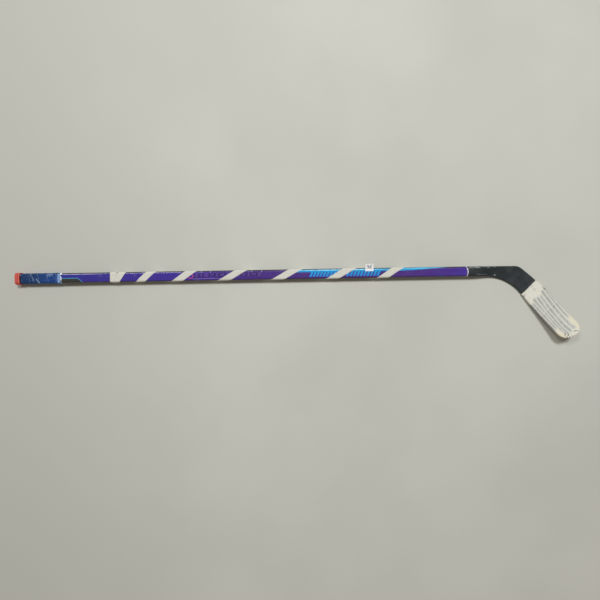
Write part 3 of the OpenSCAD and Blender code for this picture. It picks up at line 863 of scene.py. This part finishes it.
def pen_scribble(paper):
    """A meaningless zigzag of a pen on the paper."""
    t = np.linspace(0, 1, 110)
    rows, columns = paper.shape[:2]
    i = (0.2 + 0.6 * t + 0.07 * np.sin(t * 31)) * (rows - 1)
    j = (0.6 + 0.24 * np.sin(t * 24) + 0.06 * np.sin(t * 9 + 1)) * (columns - 1)
    x = np.interp(i, np.arange(rows), paper[:, 0, 0])
    y = np.interp(j, np.arange(columns), paper[10, :, 1])
    z = paper[np.round(i).astype(int), np.round(j).astype(int), 2] + 0.03
    spots = stack(x, y, np.convolve(np.pad(z, 3, mode="edge"), np.ones(7) / 7, "valid"))
    way = np.gradient(spots, axis=0)
    side = unit(stack(-way[:, 1], way[:, 0], 0)) * 0.5 * (1 + 0.3 * np.sin(t * 40))[:, None]
    up = np.array([0, 0, 0.05])
    loops = np.stack([spots - side, spots + side, spots + side + up, spots - side + up], 1)
    tube("pen_scribble", loops, pen_ink())


# ---- Blade outline, in the blade's frame: u from heel to toe, v outwards across the blade ----

LEAN = math.radians(180 - LIE)
SHAFT_DIR = np.array([math.cos(LEAN), math.sin(LEAN)])
ACROSS_DIR = np.array([-SHAFT_DIR[1], SHAFT_DIR[0]])
TOE_TOP = np.array([BLADE_LENGTH - 19, -19 - BLADE_W], float)
TOP_SLOPE = (TOE_TOP[1] + BLADE_W) / (TOE_TOP[0] - TAPE_START_U)
THROAT_SIDE = -SHAFT_W * ACROSS_DIR
THROAT_RUN = (-BLADE_W + TOP_SLOPE * (THROAT_SIDE[0] - TAPE_START_U) - THROAT_SIDE[1]) / (
    SHAFT_DIR[1] - TOP_SLOPE * SHAFT_DIR[0]
)
JOINT_BACK = -NECK_LENGTH * SHAFT_DIR
JOINT_INNER = JOINT_BACK + THROAT_SIDE
HEEL_CORNER = -4.6 * SHAFT_DIR
ROCKER_CORNER = np.array([80.0, 6.8])
LOW_TOE_CORNER = np.array([BLADE_LENGTH, -14.0])
# Corners of the outline with their radii
CORNERS = [
    (JOINT_INNER, 6), (THROAT_SIDE + THROAT_RUN * SHAFT_DIR, 140), (TOE_TOP, 24),
    (LOW_TOE_CORNER, 25), (ROCKER_CORNER, 480), (HEEL_CORNER, 35), (JOINT_BACK, 6),
]
THROAT, TOP_TOE, LOW_TOE, ROCKER, HEEL = range(1, 6)
ARC_STEPS = 40


def corner_arc(number):
    """Rows [u, v, normal u, normal v] along one rounded corner of the outline."""
    (a, _), (b, r), (c, _) = (CORNERS[(number + i) % len(CORNERS)] for i in (-1, 0, 1))
    p, q = unit(b - a), unit(c - b)
    bend = math.atan2(p[0] * q[1] - p[1] * q[0], p @ q)
    side = math.copysign(1, bend)
    centre = b - r * math.tan(abs(bend) / 2) * p + side * r * np.array([-p[1], p[0]])
    start = math.atan2(-side * p[0], side * p[1])
    angles = start + bend * np.linspace(0, 1, ARC_STEPS + 1)
    way = stack(np.cos(angles), np.sin(angles))
    return np.hstack([centre + r * way, side * way])


def top_edge_v(u):
    return -BLADE_W + TOP_SLOPE * (u - TAPE_START_U)


def bow(u, radius):
    """How far a face of that curve radius has risen at u."""
    run = np.clip(np.asarray(u, float) - BOW_START, 0, None)
    return radius - np.sqrt(radius**2 - run**2)


def to_frame(points):
    """Points of the blade's frame in the shared frame."""
    u, v, z = np.moveaxis(points, -1, 0)
    x = SHAFT_LENGTH + u * math.cos(LEAN) + v * math.sin(LEAN)
    y = SHAFT_W / 2 - u * math.sin(LEAN) + v * math.cos(LEAN)
    return stack(x, y, z)


def resample(points, shares):
    """Rows of numbers at shares of the length of the line that their first two columns draw."""
    steps = np.linalg.norm(np.diff(points[:, :2], axis=0), axis=1)
    length = np.concatenate([[0], np.cumsum(steps)])
    return np.stack([np.interp(shares * length[-1], length, column) for column in points.T], -1)


# ---- Hosel ----


def hosel_body():
    """Solid loft from the shaft's section to the blade's, with its tenon inside the shaft."""
    heel, throat, sole = (corner_arc(number)[:, :2] for number in (HEEL, THROAT, ROCKER))
    sole = sole[::-1]
    before = sole[sole[:, 0] < ROOT_U]
    back_path = np.vstack([JOINT_BACK, heel[::-1], before, [ROOT_U, np.interp(ROOT_U, *sole.T)]])
    inner_path = np.vstack([JOINT_INNER, throat, [ROOT_U, top_edge_v(ROOT_U)]])
    f = np.linspace(0, 1, 120)
    back, inner = resample(back_path, f), resample(inner_path, f)
    width = np.linalg.norm(back - inner, axis=1)[:, None]
    blend = ((1 - np.cos(math.pi * np.clip((f - 0.03) / 0.59, 0, 1))) / 2)[:, None]
    low, high = mix(-SHAFT_T / 2, BACK_Z, blend), mix(SHAFT_T / 2, FRONT_Z, blend)
    shape, edge = rounded_section(width, high - low, mix(SHAFT_R, 2.4, blend))
    across, up = shape[..., 0] / width, shape[..., 1] / (high - low)
    u, v = (mix(inner[:, i : i + 1], back[:, i : i + 1], across) for i in (0, 1))
    z = mix(low + bow(u, BACK_CURVE_R), high + bow(u, FRONT_CURVE_R), up)
    rings = to_frame(stack(u, v, z))
    first = rings[0]
    flat = first * [0, 1 - 2 * (TUBE_WALL + GLUE_T) / SHAFT_W, 1 - 2 * (TUBE_WALL + GLUE_T) / SHAFT_T]
    tenon_end = node_span("hosel")[0]
    tenon = [flat + [x, 0, 0] for x in (tenon_end, tenon_end + 3, first[0, 0])]
    tenon[0] = tenon[0] * [1, 0.93, 0.9]
    rings = np.concatenate([tenon, rings])
    edge = np.broadcast_to(edge, rings.shape[:2])
    tube("hosel_body", rings, satin_black(), ["hosel"], {"edge": edge})


def rounded_section(width, height, radius, corner_steps=9, flat_steps=8):
    """Rounded rectangles as [across, up] from their lowest corner, and how near a corner each point is."""
    found, near = [], []
    for corner in range(4):
        x_middle = width - radius if corner in (1, 2) else radius
        y_middle = height - radius if corner >= 2 else radius
        for a in np.radians(np.linspace(180 + 90 * corner, 270 + 90 * corner, corner_steps)):
            found.append(np.hstack([x_middle + radius * math.cos(a), y_middle + radius * math.sin(a)]))
            near.append(1.0)
        if corner in (0, 2):
            start = found[-1]
            x_end = radius if corner else width - radius
            for share in np.linspace(0, 1, flat_steps + 2)[1:-1]:
                found.append(np.hstack([mix(start[:, :1], x_end, share), start[:, 1:]]))
                near.append(max(0.0, 1 - min(share, 1 - share) * 9))
    return np.stack(found, 1), np.array(near)


def joint_paint():
    """Chipped paint and glue along the joint, bowed towards the blade."""
    low, high = node_span("joint_bead")
    s = np.linspace(0, GIRTH, 260, endpoint=False)
    y, z = section(s).T
    f = np.linspace(0, 1, 9)[:, None]
    spots = stack(0, y, z)
    middle = (low + high) / 2 + 2.6 - 4.4 * ((y + 2) / (SHAFT_W / 2)) ** 2
    middle = middle + 0.35 * ripple(spots, 4, 61)
    half = 1.05 + 0.5 * ripple(spots, 3, 62) + 0.3 * ripple(spots, 1.1, 63)
    half = np.clip(half + 0.7 * bell(s, 0, 3) + 0.7 * bell(s, GIRTH, 3), 0.3, 2.2)
    x = middle + half * (2 * f - 1)
    rough = 0.1 * ripple(stack(x, y, z), 1.2, 64)
    outer = 0.05 + (0.3 + rough) * np.sqrt(np.clip(1 - (2 * f - 1) ** 4, 0.02, 1))
    sleeve("joint_paint", x, s, outer, 0.03, chipped_bead(), ["joint_bead"])


def hosel_dots():
    """A broken printed line along the lower edge of the hosel's face."""
    first, last, pitch, low, high = 1381, 1411, 2.9, -10.0, -9.2
    dots = Print(0.03)
    for i, x in enumerate(np.arange(first, last, pitch)):
        end = x + 1.2 + 0.5 * (i % 3)
        dots.slab([(x, low), (end, low), (end, high), (x, high)])
    dots.make("hosel_dots", [(176, 184, 188), (196, 202, 206)], 0.3, slot="blade_paint")


# ---- Blade tape ----

# Radius of a taped edge, the points that go round it, and an arch over them
EDGE_ROUND = 2.2
SIDE_STEPS = 14
ARCH = np.sin(np.linspace(0, math.pi, SIDE_STEPS))
# How far the strips stand out from the blade, and how far each laps the last, as a share of its width
STRIP_GROW = 0.95
STRIP_LAP = 0.04
TAPE_T = 0.42
# Where creases cross the strips
TOE_CREASE_U = [124, 149, 180, 207]
# Gaps in the folded tape at the toe, each from one point [u, v] to another
TOE_SLITS = [
    ((223.6, -57.6), (229.0, -64.2)), ((230.6, -53.6), (235.6, -59.0)), ((236.4, -35.2), (243.3, -27.8)),
    ((236.6, -62.8), (239.4, -65.6)),
]
# Widest gap at a seam near the toe, as a share of the blade's width
SEAM_GAPS = {2: 0.036, 3: 0.008, 4: 0.036, 5: 0.04}
# Flaps: from and to a share of the way round the toe, length on the face, and distance from the blade
TOE_FLAPS = [
    (0.08, 0.24, 8, 1.35), (0.3, 0.42, 6, 1.4), (0.47, 0.58, 5, 1.35), (0.64, 0.72, 7, 1.4),
    (0.76, 0.84, 5, 1.35),
]
# Side, height and curve radius of the two faces
FACES = ((1, FRONT_Z, FRONT_CURVE_R), (-1, BACK_Z, BACK_CURVE_R))


def outline_from(start_u, count):
    """The outline from start_u to the toe, as rows of corner_arc: sole side, toe, top side."""
    top_toe, low_toe = corner_arc(TOP_TOE), corner_arc(LOW_TOE)
    half = ARC_STEPS // 2
    sole = np.vstack([low_toe[half:], corner_arc(ROCKER), corner_arc(HEEL)])[::-1]
    top = np.vstack([corner_arc(THROAT)[-1:], top_toe[: half + 1]])
    toe = np.vstack([top_toe[half:], low_toe[: half + 1]])[::-1]
    shares = np.linspace(0, 1, count)
    return cut_from(sole, start_u, shares), toe, cut_from(top, start_u, shares)


def at_u(line, u):
    return stack(*(np.interp(u, line[:, 0], column) for column in line.T))


def cut_from(line, start_u, shares):
    """The part of a line beyond start_u, with points at shares of its length."""
    return resample(np.vstack([at_u(line, start_u), line[line[:, 0] > start_u]]), shares)


def face_patch(sole, toe_line, top, shares, inset):
    """Patch between the sole and the top edge that bulges to the toe, at a grid of shares of the width."""
    f, q = np.linspace(0, 1, len(shares))[:, None, None] ** 6, shares[..., None]
    lines = sole[:, None], top[:, None], resample(toe_line, shares)
    s, t, toe = (line[..., :2] - inset * unit(line[..., 2:]) for line in lines)
    return mix(s, t, q) + (toe - mix(s[-1], t[-1], q)) * f


def side_wall(line, grow):
    """Grid along a line by the way round the edge, from front face to back face, and its normals."""
    half = SIDE_STEPS // 2
    turn = np.radians(np.concatenate([np.linspace(90, 0, half), np.linspace(0, -90, half)]))
    out, up = np.cos(turn), np.sin(turn)
    base, way = line[:, :2], unit(line[:, 2:4])
    reach = grow - EDGE_ROUND + EDGE_ROUND * out
    rims = [height + bow(base[:, 0], radius) + side * (grow - EDGE_ROUND) for side, height, radius in FACES]
    z = np.repeat(np.stack(rims, 1), half, 1) + EDGE_ROUND * up
    spots = base[:, None] + reach[None, :, None] * way[:, None]
    return np.dstack([spots, z]), stack(out * way[:, :1], out * way[:, 1:], up)


def collar_tape(material):
    """Straight turns of tape round the blade, where its taping starts."""
    u_start, u_end, rows = TAPE_START_U, TAPE_START_U + COLLAR_W, 60
    u = np.linspace(u_start, u_end, rows)
    sole_line, _, top_line = outline_from(u_start - 20, 400)
    skins = []
    for grow in (0.85, 0.12):
        walls = [side_wall(at_u(line, u), grow)[0] for line in (sole_line, top_line)]
        q = np.linspace(0, 1, 60)[1:-1][None, :, None]
        faces = []
        for (side, height, radius), rim in zip(FACES, (0, -1)):
            face = mix(walls[0][:, rim], walls[1][:, rim], q[0, :, None]).swapaxes(0, 1)
            face[..., 2] = height + side * grow + bow(face[..., 0], radius)
            faces.append(face)
        skins.append(np.concatenate([faces[0], walls[1], faces[1][:, ::-1], walls[0][:, ::-1]], 1))
    spots = wrinkle_collar(skins[0], u[:, None], u_start, u_end)
    steps = np.linalg.norm(np.diff(spots, axis=1, prepend=spots[:, :1]), axis=2)
    here, v = u[:, None], spots[..., 1]
    edge = ease(here, u_start + 0.8, u_start) + ease(here, u_end - 0.8, u_end)
    smudge = bell(here, 83, 9) * bell(v, -20.5, 2.2) + bell(here + 0.9 * v, 23, 4) * bell(here, 74, 4)
    wear = np.maximum(0.075 + 0.25 * ease(ripple(spots, 9, 71), 0.35, 1), smudge * 1.1)
    warm = bell(here, 91, 6) * bell(v, -46, 9) + bell(here, 65, 3) * bell(v, -50, 8)
    layers = there_and_back(tape_layers(np.cumsum(steps, 1), here, wear, edge, warm))
    rings = np.concatenate([spots, skins[1][::-1]])
    faces = grid_faces(*rings.shape[:2], wrap_rows=True, wrap_columns=True)
    piece("collar_tape", to_frame(rings), faces, material, ["blade_tape_collar"], layers)


def wrinkle_collar(loop, u, u_start, u_end):
    """Two lapped turns and fine wrinkles, pushed out from the blade's middle."""
    out = loop - [0, -BLADE_W / 2, (FRONT_Z + BACK_Z) / 2]
    out[..., 0] = 0
    out[..., 2] -= bow(loop[..., 0], FRONT_CURVE_R)
    out = np.where(np.abs(out[..., 2:]) > 3, [0, 0, 1], [0, 1, 0]) * np.sign(out)
    lap_u = u_start + 0.42 * (u_end - u_start) - 0.10 * loop[..., 1]
    lap = 0.22 * ease(loop[..., 0], lap_u - 0.35, lap_u + 0.35)
    fine = 0.06 * ripple(loop, 2.2, 72, (4, 1, 1)) + 0.07 * ripple(loop, 8, 73)
    moved = loop + out * (lap + fine - 0.25 * near_ends(u, u_start, u_end, 0.7))[..., None]
    moved[..., 0] += (0.083 * loop[..., 1] + 3.5) * ease(u, u_end, u_start)
    ragged = 0.4 * ripple(loop, 9, 74) + 0.15 * ripple(loop, 2, 75)
    moved[..., 0] += ragged * near_ends(u, u_start, u_end, 3)
    return moved


def seam_share(number, f):
    """Share of the width at which strip number ends, at a share f of the way to the toe."""
    on_face = mix(SEAM_START[number], SEAM_END[number], 1 - (1 - f) ** 2)
    return mix(on_face, SEAM_TOE[number], ease(f, 0.8, 1))


def slit_share(seam, f):
    """Gap that opens at a seam near the toe, as a share of the width."""
    return SEAM_GAPS.get(seam, 0.0) * ease(f, 0.92, 0.95)


def blade_strip(number, material):
    """One long strip: down the forehand face, over the toe and back along the other face."""
    chance = np.random.default_rng(80 + number)
    start_u = TAPE_START_U + COLLAR_W - 4 + chance.uniform(-3, 2)
    rows, columns = 230, 18
    sole, toe_line, top = outline_from(start_u, rows)
    f = np.linspace(0, 1, rows)[:, None]
    lap = STRIP_LAP * (number > 1) * ease(f, 0.97, 0.93)
    low = seam_share(number - 1, f) - lap + slit_share(number - 1, f) / 2
    high = seam_share(number, f) - slit_share(number, f) / 2
    q = np.linspace(0, 1, columns)
    shares = mix(low, high, q)
    plan = face_patch(sole, toe_line, top, shares, EDGE_ROUND - STRIP_GROW)
    over = 0.46 * ease(q, 0.36, 0.16) * (lap > 0) * ease(f, 0.97, 0.9)
    lift = over + 0.16 * bell(q, 0.1, 0.09) * ease(f, 1, 0.95)
    front, back = (lift_face(plan, *face, lift, f, number) for face in FACES)
    toe, toe_normal = side_wall(resample(toe_line, shares[-1]), STRIP_GROW)
    folds = 0.4 + 0.6 * np.abs(ripple(toe, 3.0, 110 + number))
    toe = toe + toe_normal * (ARCH * folds)[..., None]
    strip = np.concatenate([front, np.swapaxes(toe, 0, 1)[1:-1], back[::-1]])
    distance = np.cumsum(np.linalg.norm(np.diff(strip, axis=0, prepend=strip[:1]), axis=2), 0)
    grids = [(strip, distance, q * 12, q)]
    if number in (1, STRIP_COUNT):
        line, column = (sole, 0) if number == 1 else (top, -1)
        wall, wall_normal = side_wall(line, STRIP_GROW)
        wall = wall + wall_normal * lift[:, column, None, None]
        wall[:, 0], wall[:, -1], wall[-1] = front[:, column], back[:, column], toe[column]
        around = np.linspace(0, 12, SIDE_STEPS)
        grids.append((wall, distance[:rows, column][:, None] + 0 * around, -around, None))
    build_strip(number, grids, material)


def lift_face(plan, side, height, radius, lift, f, number):
    """A face of the strip at its height on the blade, with creases and the step over the collar."""
    u = plan[..., 0]
    z = height + bow(u, radius) + side * STRIP_GROW
    collar_end = TAPE_START_U + COLLAR_W
    on_collar = 0.5 * ease(u, collar_end + 1.2, collar_end - 0.8)
    spots = np.dstack([plan, z])
    creases = 0.05 * ripple(spots, 2.4, 90 + number) + 0.08 * ripple(spots, 7, 100 + number, (1, 3, 1))
    for crease_u in TOE_CREASE_U:
        creases = creases + 0.14 * bell(u, crease_u + 0.04 * plan[..., 1], 0.7)
    gap, lip = slit_marks(spots)
    raised = lift + on_collar + creases * ease(f, 1.0, 0.97) + (0.7 * lip - 0.5 * gap) * (side > 0)
    return np.dstack([plan, z + side * raised])


def slit_marks(grid):
    """Where the folded tape gapes at the toe, and the raised lips beside the gaps."""
    gap, lip = np.zeros(grid.shape[:-1]), np.zeros(grid.shape[:-1])
    for start, end in TOE_SLITS:
        way = np.subtract(end, start)
        length = np.linalg.norm(way)
        du, dv = grid[..., 0] - start[0], grid[..., 1] - start[1]
        along = (du * way[0] + dv * way[1]) / length
        aside = (dv * way[0] - du * way[1]) / length
        inside = ease(along, -1.0, 1.6) * ease(along, length + 1.0, length - 1.6)
        gap = np.maximum(gap, inside * bell(aside, 0, 0.6))
        lip = np.maximum(lip, inside * bell(aside, 1.7, 0.9))
    return gap, lip


def strip_looks(grid, number, q):
    """Wear, warm colour, and dark marks (dirt, and painted shadow at the sole edge and in the toe's gaps)
    of a strip at every point of a grid in the blade's frame.
    """
    u, v = grid[..., 0], grid[..., 1]
    seed = 120 + 5 * number
    patches = 0.72 + 0.28 * ease(ripple(grid, 26, seed, (2, 1, 1)), -1.0, 0.4)
    wear = ease(q, 0.08, 0.4) * ease(q, 0.98, 0.66)
    crease = sum(bell(u, at + 0.04 * v, 0.9) for at in TOE_CREASE_U)
    begins = TAPE_START_U + 33 + 4 * np.sin(number * 2.3)
    warm = ease(u, 192, 210) * ease(u, 250, 236) * ease(np.abs(v + 41), 17, 22)
    wear = wear * patches * ease(u, begins, begins + 10) * ease(u, 240, 226)
    wear = wear * (1 - 0.5 * crease) * (1 - warm)
    # Painted shadow: a thin dark line along the sole edge of the first strip, where its end folds over.
    dirt_and_shadow = 0.8 * bell(u, 99, 6) * ease(v, -1.6, 0.4) * (number == 1)
    dirt_and_shadow = dirt_and_shadow + 0.5 * ease(ripple(grid, 5, seed + 1), 1.15, 1.4) * ease(v, -3, -1)
    dirt_and_shadow = dirt_and_shadow + 0.8 * bell(u, 207, 1.0) * bell(q, 0.35, 0.12) * (number in (2, 5))
    dirt_and_shadow = dirt_and_shadow + 0.35 * (bell(u, 124, 1.6) + bell(u, 154, 1.3)) * bell(q, 0.5, 0.25)
    # Painted shadow in the gaps of the folded tape at the toe.
    dirt_and_shadow = dirt_and_shadow + 1.3 * slit_marks(grid)[0]
    return wear, warm * ease(ripple(grid, 9, seed + 2), -1.2, 0.1), dirt_and_shadow


def build_strip(number, grids, material):
    """Welds the grids of a strip into one skin and gives it its thickness."""
    points, faces, found = [], [], []
    for grid, along, across, q in grids:
        first = sum(map(len, points))
        points.append(grid.reshape(-1, 3))
        faces += [[first + i for i in face] for face in grid_faces(*grid.shape[:2])]
        edge = 0 if q is None else bell(q, 1.0, 0.05) + bell(q, 0.0, 0.05)
        wear, warm, dirt_and_shadow = strip_looks(grid, number, 0.5 if q is None else q)
        found.append(tape_layers(along, across, wear, edge, warm, dirt_and_shadow))
    layers = {key: np.concatenate([layer[key].ravel() for layer in found]) for key in found[0]}
    spots = to_frame(np.concatenate(points))
    node = f"blade_tape_strip_{number}"
    thicken(piece(f"strip_tape_{number}", spots, faces, material, [node], layers, 60, 0.01))


def thicken(obj):
    thickness = obj.modifiers.new("tape_thickness", "SOLIDIFY")
    thickness.thickness = TAPE_T * MM
    thickness.offset = -1


def toe_flaps(material):
    """Short ends of tape, folded over the toe on top of the strips."""
    toe_line = outline_from(100, 4)[1]
    for number, (low, high, reach, grow) in enumerate(TOE_FLAPS):
        line = resample(toe_line, np.linspace(low, high, 22))
        wall, way = side_wall(line, grow)
        wall = wall + way * (0.7 * np.abs(ripple(wall, 2.6, 140 + number)) * ARCH)[..., None]
        f = np.linspace(1, 0, 12)[:-1]
        ends = []
        for (side, height, radius), rim in zip(FACES, (wall[:, 0], wall[:, -1])):
            ragged = reach * (1 + 0.16 * ripple(rim, 5, 150 + number))[:, None]
            plan = rim[:, None, :2] - unit(line[:, None, 2:]) * (ragged * f)[..., None]
            z = height + side * grow + bow(plan[..., 0], radius)
            spots = np.dstack([plan, z])
            gap, lip = slit_marks(spots)
            folds = 0.12 * np.abs(ripple(spots, 3, 160 + number)) * f
            ends.append(np.dstack([plan, z + side * folds + (0.6 * lip - 0.4 * gap) * (side > 0)]))
        grid = np.concatenate([ends[0], wall, ends[1][:, ::-1]], 1)
        rows, columns = grid.shape[:2]
        down = np.linspace(0, 1, rows)[:, None]
        edge = bell(down, 0, 0.06) + bell(down, 1, 0.06)
        # Painted shadow in the gaps of the folded tape.
        dirt_and_shadow = 1.3 * slit_marks(grid)[0] * (grid[..., 2] > 0)
        layers = tape_layers(np.linspace(0, 20, columns), 10 * down, 0, edge, 0.4, dirt_and_shadow)
        thicken(piece(f"toe_flap_{number + 1}", to_frame(grid), grid_faces(rows, columns), material,
                      (), layers, 60))


# ---- CAD nodes that keep their own shape, inside the stick ----


def dress_inner_nodes():
    skin = satin_black("skin_paint")
    looks = {
        "end_plug": wood(), "plug_glue": glue(), "tenon_glue": glue(), "core_lower": foam(),
        "core_upper": foam(), "core_bridge": carbon(), "front_skin": skin, "back_skin": skin,
        "sole_edge_strip": skin, "top_edge_strip": skin,
    }
    for name, material in looks.items():
        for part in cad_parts[name].material_slots:
            part.material = material


# ---- Stage ----

FLOOR_HALF = 8.0
FLOOR_GAP = 0.0002
CAMERA_PLACE = (0.8513, -0.0774, 1.2816)
CAMERA_ROLL = -0.01658
CAMERA_LENS = 25.53
LAMP_COLOUR = (0.99, 1.0, 1.0)
SKY_COLOUR = (1.0, 0.86, 0.74, 1)
SKY_STRENGTH = 0.23


def floor():
    mesh = bpy.data.meshes.new("floor")
    corners = [(FLOOR_HALF * x, FLOOR_HALF * y, 0) for x, y in ((-1, -1), (1, -1), (1, 1), (-1, 1))]
    mesh.from_pydata(corners, [], [(0, 1, 2, 3)])
    mesh.materials.append(floor_paint())
    obj = add_object("floor", mesh)
    obj.location = (0, 0, cad_low.z - FLOOR_GAP)


def lamp(name, place, size, watts):
    """A round lamp at a place from the middle of the stick, turned to that middle."""
    light = bpy.data.lights.new(name, "AREA")
    light.shape = "DISK"
    light.size = size
    light.energy = watts
    light.color = LAMP_COLOUR
    obj = add_object(name, light)
    obj.location = Vector(place) + Vector(((cad_low.x + cad_high.x) / 2, 0, 0))
    obj.rotation_mode = "QUATERNION"
    obj.rotation_quaternion = (-Vector(place)).to_track_quat("-Z", "Y")


def sky():
    world = bpy.data.worlds.new("soft_room")
    world.use_nodes = True
    background = world.node_tree.nodes["Background"]
    background.inputs["Color"].default_value = SKY_COLOUR
    background.inputs["Strength"].default_value = SKY_STRENGTH
    bpy.context.scene.world = world
    bpy.context.scene.view_settings.view_transform = "Standard"


def camera():
    """Straight above the stick, a little past its middle and below it."""
    data = bpy.data.cameras.new("camera")
    data.lens = CAMERA_LENS
    data.sensor_width = 36
    data.clip_start = 0.01
    obj = add_object("camera", data)
    obj.location = CAMERA_PLACE
    obj.rotation_euler = Euler((0, 0, CAMERA_ROLL))
    bpy.context.scene.camera = obj


cream = cloth("shaft_cloth", (224, 224, 216), (192, 191, 182), (230, 229, 220), 0.25)
blade_cream = cloth("blade_cloth", (238, 239, 229), (178, 183, 183), (238, 237, 225), 0.22)
rubber_cap()
grip_wrap()
finishing_band()
painted_shaft()
butt_graphics()
ring_mark()
angular_outlines()
edge_lines()
cyan_graphics()
start_ring(cream)
spiral_tape(cream)
paper_label()
hosel_body()
joint_paint()
hosel_dots()
collar_tape(blade_cream)
for strip_number in range(1, STRIP_COUNT + 1):
    blade_strip(strip_number, blade_cream)
toe_flaps(blade_cream)
dress_inner_nodes()
floor()
lamp("left_key", (-2.2, 2.3, 4.6), 1.2, 66)
lamp("right_key", (0.6, 2.1, 4.5), 1.1, 148)
sky()
camera()
